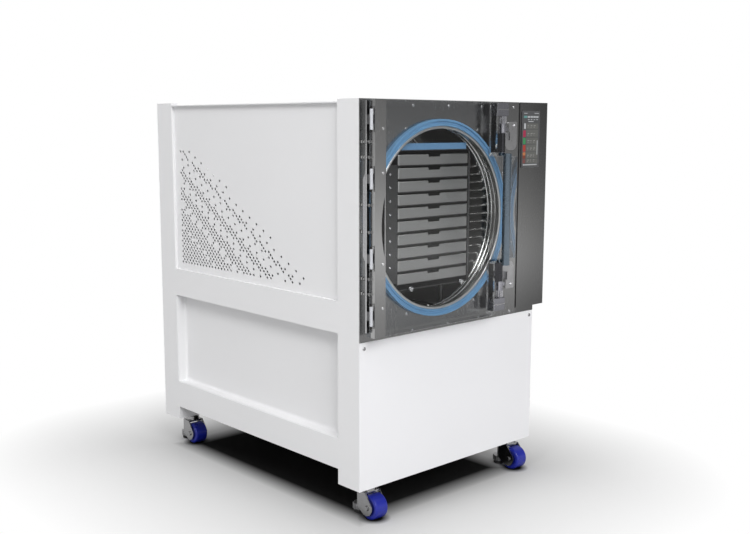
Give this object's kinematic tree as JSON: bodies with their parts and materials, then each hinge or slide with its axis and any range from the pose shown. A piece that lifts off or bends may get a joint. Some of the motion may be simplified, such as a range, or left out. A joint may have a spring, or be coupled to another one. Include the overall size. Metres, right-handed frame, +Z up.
{
  "type": "freeze dryer",
  "caption": "Floor-standing freeze dryer: white cabinet on levelling casters, round vacuum chamber with trays, clear hinged door, touch panel.",
  "frame": {"origin": "bottom centre of the bounding box, on the floor", "axes": "+Z up, +Y towards the rear, +X to the right seen from the front"},
  "size_m": [0.7832, 1.139, 1.168],
  "materials": {
    "white_paint": "satin",
    "satin_steel": "satin",
    "polished_steel": "polished",
    "screen_glass": "gloss",
    "circuit_board": "matte",
    "vessel_steel": "satin",
    "foam_lagging": "matte",
    "silicone": "satin",
    "rack_steel": "satin",
    "blue_strip": "gloss",
    "tray_steel": "satin",
    "black_paint": "satin",
    "fin_aluminium": "matte",
    "black_plastic": "matte",
    "white_bushing": "satin",
    "clear_pane": "gloss",
    "zinc_steel": "satin",
    "blue_wheel": "satin"
  },
  "bodies": {
    "root": {"side_posts": "white_paint", "side_rails": "white_paint", "cross_frame": "white_paint", "vent_panel_left": "white_paint", "vent_panel_right": "white_paint", "lower_panel_left": "white_paint", "lower_panel_right": "white_paint", "rear_panel": "white_paint", "top_panel": "white_paint", "front_lower_panel": "white_paint", "fascia_plate": "satin_steel", "front_screws": "polished_steel", "control_housing": "satin_steel", "control_screen": "screen_glass", "control_board": "circuit_board", "chamber_vessel": "vessel_steel", "chamber_lagging": "foam_lagging", "chamber_gasket": "silicone", "evaporator_coil": "vessel_steel", "shelf_rack": "rack_steel", "rack_top_strip": "blue_strip", "heated_shelves": "rack_steel", "tray_01": "tray_steel", "tray_02": "tray_steel", "tray_03": "tray_steel", "tray_04": "tray_steel", "tray_05": "tray_steel", "tray_06": "tray_steel", "tray_07": "tray_steel", "tray_08": "tray_steel", "tray_09": "tray_steel", "tray_10": "tray_steel", "compressor": "black_paint", "condenser_coil": "fin_aluminium", "condenser_fan": "black_paint", "rear_fittings": "polished_steel", "hinge_plate": "satin_steel", "hinge_bolts": "polished_steel", "hinge_brackets": "satin_steel", "hinge_bushings": "white_bushing", "latch_keepers": "polished_steel"},
    "door": {"door_pane": "clear_pane", "door_stile": "satin_steel", "stile_screws": "polished_steel", "latch_housings": "polished_steel"},
    "latch": {"latch_handle": "polished_steel", "latch_shafts": "polished_steel"},
    "fan": {"fan_blade": "black_plastic"},
    "caster_front_left": {"caster_fork_front_left": "zinc_steel"},
    "wheel_front_left": {"caster_wheel_front_left": "blue_wheel"},
    "foot_front_left": {"caster_foot_front_left": "zinc_steel"},
    "caster_front_right": {"caster_fork_front_right": "zinc_steel"},
    "wheel_front_right": {"caster_wheel_front_right": "blue_wheel"},
    "foot_front_right": {"caster_foot_front_right": "zinc_steel"},
    "caster_rear_left": {"caster_fork_rear_left": "zinc_steel"},
    "wheel_rear_left": {"caster_wheel_rear_left": "blue_wheel"},
    "foot_rear_left": {"caster_foot_rear_left": "zinc_steel"},
    "caster_rear_right": {"caster_fork_rear_right": "zinc_steel"},
    "wheel_rear_right": {"caster_wheel_rear_right": "blue_wheel"},
    "foot_rear_right": {"caster_foot_rear_right": "zinc_steel"}
  },
  "joints": [
    {"name": "door_hinge", "type": "hinge", "parent": "root", "child": "door", "pos_m": [-0.3874, -0.5145, 0.858], "axis": [0, 0, -1], "range_deg": [0, 115]},
    {"name": "latch_turn", "type": "hinge", "parent": "door", "child": "latch", "pos_m": [0.1426, -0.502, 0.858], "axis": [0, 0, 1], "range_deg": [0, 60]},
    {"name": "fan_spin", "type": "hinge", "parent": "root", "child": "fan", "pos_m": [0.1296, 0.4335, 0.348], "axis": [0, 1, 0], "continuous": true},
    {"name": "swivel_front_left", "type": "hinge", "parent": "root", "child": "caster_front_left", "pos_m": [-0.3004, -0.4045, 0.108], "axis": [0, 0, 1], "continuous": true},
    {"name": "roll_front_left", "type": "hinge", "parent": "caster_front_left", "child": "wheel_front_left", "pos_m": [-0.30145, -0.43448, 0.035], "axis": [0.9994, -0.0349, 0], "continuous": true},
    {"name": "foot_screw_front_left", "type": "slide", "parent": "caster_front_left", "child": "foot_front_left", "axis": [0, 0, 1], "range_m": [-0.005, 0.011]},
    {"name": "swivel_front_right", "type": "hinge", "parent": "root", "child": "caster_front_right", "pos_m": [0.3146, -0.4045, 0.108], "axis": [0, 0, 1], "continuous": true},
    {"name": "roll_front_right", "type": "hinge", "parent": "caster_front_right", "child": "wheel_front_right", "pos_m": [0.31355, -0.43448, 0.035], "axis": [0.9994, -0.0349, 0], "continuous": true},
    {"name": "foot_screw_front_right", "type": "slide", "parent": "caster_front_right", "child": "foot_front_right", "axis": [0, 0, 1], "range_m": [-0.005, 0.011]},
    {"name": "swivel_rear_left", "type": "hinge", "parent": "root", "child": "caster_rear_left", "pos_m": [-0.3004, 0.5125, 0.108], "axis": [0, 0, 1], "continuous": true},
    {"name": "roll_rear_left", "type": "hinge", "parent": "caster_rear_left", "child": "wheel_rear_left", "pos_m": [-0.30145, 0.48252, 0.035], "axis": [0.9994, -0.0349, 0], "continuous": true},
    {"name": "foot_screw_rear_left", "type": "slide", "parent": "caster_rear_left", "child": "foot_rear_left", "axis": [0, 0, 1], "range_m": [-0.005, 0.011]},
    {"name": "swivel_rear_right", "type": "hinge", "parent": "root", "child": "caster_rear_right", "pos_m": [0.3146, 0.5125, 0.108], "axis": [0, 0, 1], "continuous": true},
    {"name": "roll_rear_right", "type": "hinge", "parent": "caster_rear_right", "child": "wheel_rear_right", "pos_m": [0.31355, 0.48252, 0.035], "axis": [0.9994, -0.0349, 0], "continuous": true},
    {"name": "foot_screw_rear_right", "type": "slide", "parent": "caster_rear_right", "child": "foot_rear_right", "axis": [0, 0, 1], "range_m": [-0.005, 0.011]}
  ]
}
